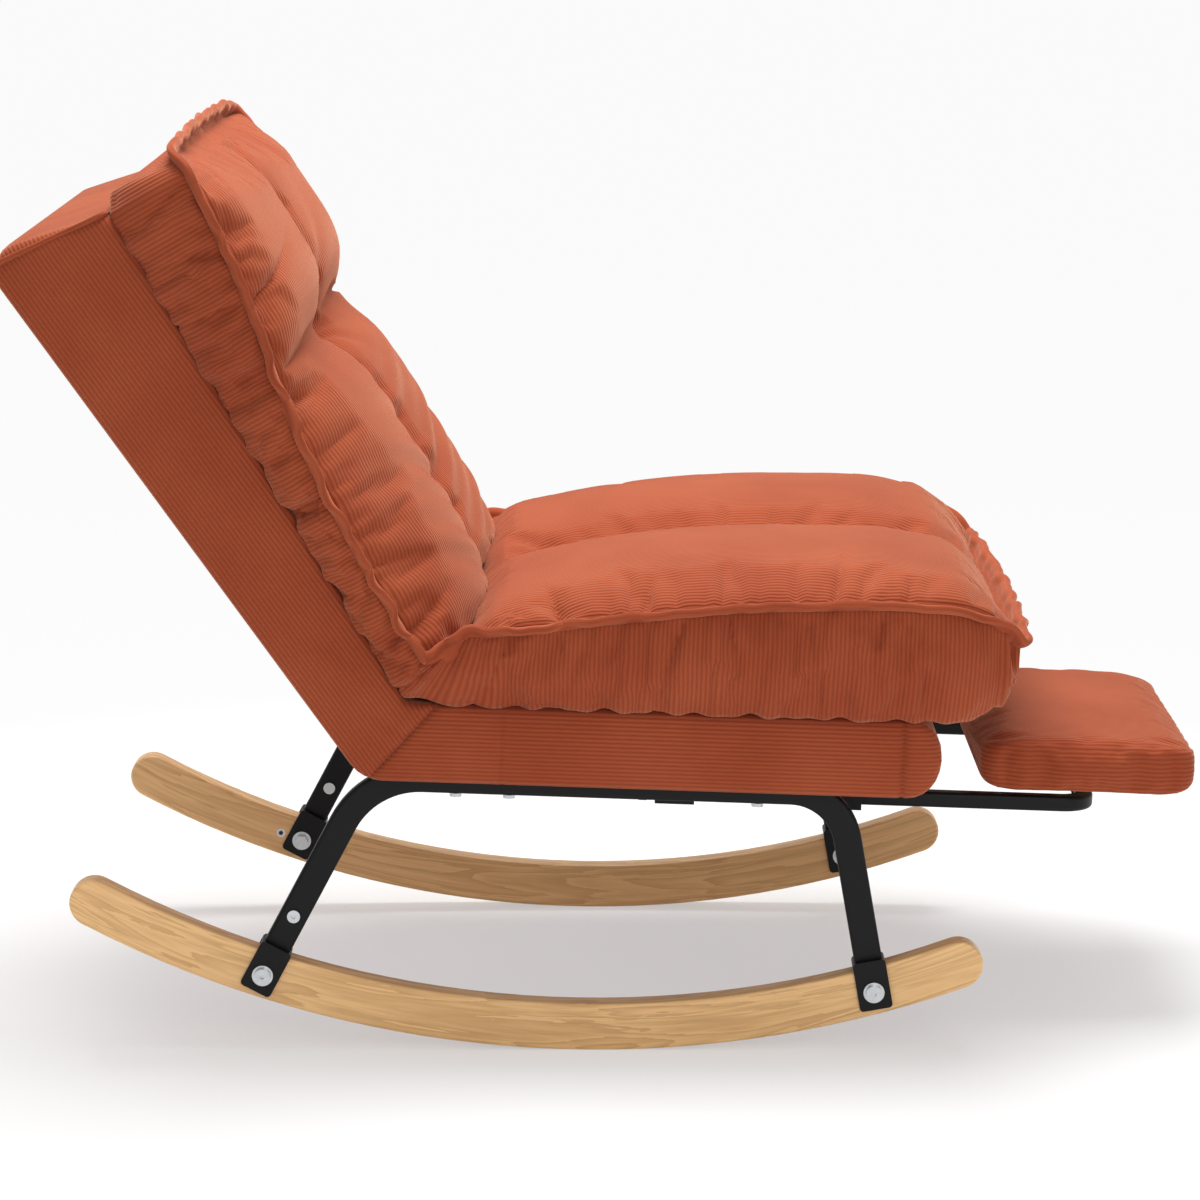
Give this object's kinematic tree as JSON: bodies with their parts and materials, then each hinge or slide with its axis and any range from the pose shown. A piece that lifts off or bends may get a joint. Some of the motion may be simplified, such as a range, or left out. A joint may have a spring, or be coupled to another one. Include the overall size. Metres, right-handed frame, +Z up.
{
  "type": "reclining rocking chair",
  "caption": "Upholstered rocking chair on bent wooden rockers and steel side frames, with a reclining back and a footrest that slides out and turns over.",
  "frame": {"origin": "on the floor, midway between the two rockers, under their contact points", "axes": "+X to the front of the chair, +Y to the sitter's left, +Z up"},
  "size_m": [1.1924, 0.6978, 0.8993],
  "materials": {
    "rocker_wood": "satin lacquer",
    "timber": "sawn",
    "black_steel": "satin powder coat",
    "zinc": "zinc plated",
    "hinge_steel": "plain",
    "corduroy": "ribbed pile",
    "foam": "plain",
    "webbing": "woven",
    "dust_cloth": "non-woven",
    "plastic": "moulded"
  },
  "bodies": {
    "base": {"dust_cover": "dust_cloth", "front_cross_tube": "black_steel", "front_fork_left": "black_steel", "front_fork_right": "black_steel", "guide_screws": "zinc", "hinge_hubs": "hinge_steel", "hinge_pins": "zinc", "hinge_seat_arm_left": "hinge_steel", "hinge_seat_arm_right": "hinge_steel", "hinge_seat_screws": "zinc", "leg_bolts": "zinc", "leg_nuts": "zinc", "rear_cross_tube": "black_steel", "rear_fork_left": "black_steel", "rear_fork_right": "black_steel", "rocker_bolts": "zinc", "rocker_inserts": "zinc", "rocker_left": "rocker_wood", "rocker_nuts": "zinc", "rocker_right": "rocker_wood", "rocker_washers": "zinc", "seat_bolts": "zinc", "seat_cross_slat": "timber", "seat_cushion": "corduroy", "seat_deck": "foam", "seat_front_panel": "corduroy", "seat_front_rail": "timber", "seat_rear_rail": "timber", "seat_side_panel_left": "corduroy", "seat_side_panel_right": "corduroy", "seat_side_rail_left": "timber", "seat_side_rail_right": "timber", "seat_webbing": "webbing", "side_frame_left": "black_steel", "side_frame_right": "black_steel", "slide_guides": "black_steel", "slide_liners": "plastic"},
    "backrest": {"back_bottom_rail": "timber", "back_cushion": "corduroy", "back_deck": "foam", "back_rear_panel": "corduroy", "back_side_panel_left": "corduroy", "back_side_panel_right": "corduroy", "back_stile_left": "timber", "back_stile_right": "timber", "back_top_panel": "corduroy", "back_top_rail": "timber", "back_webbing": "webbing", "hinge_back_arm_left": "hinge_steel", "hinge_back_arm_right": "hinge_steel", "hinge_back_screws": "zinc"},
    "footrest_frame": {"footrest_pivot_bar": "black_steel", "footrest_rail_left": "black_steel", "footrest_rail_right": "black_steel", "footrest_stops": "plastic"},
    "footrest_pad": {"footrest_board": "timber", "footrest_cushion": "corduroy", "footrest_saddles": "black_steel", "saddle_screws": "zinc"}
  },
  "joints": [
    {"name": "back_recline", "type": "hinge", "parent": "base", "child": "backrest", "pos_m": [-0.21091, 0, 0.32156], "axis": [0, 1, 0], "range_deg": [-20, 12]},
    {"name": "footrest_slide", "type": "slide", "parent": "base", "child": "footrest_frame", "axis": [-0.9994, 0, 0.0349], "range_m": [0, 0.2]},
    {"name": "footrest_flip", "type": "hinge", "parent": "footrest_frame", "child": "footrest_pad", "pos_m": [0.49818, 0, 0.22575], "axis": [0, 1, 0], "range_deg": [0, 180]}
  ],
  "couplings": [
    {"joint": "footrest_flip", "follows": "footrest_slide", "rad_per_m": 15.7}
  ]
}
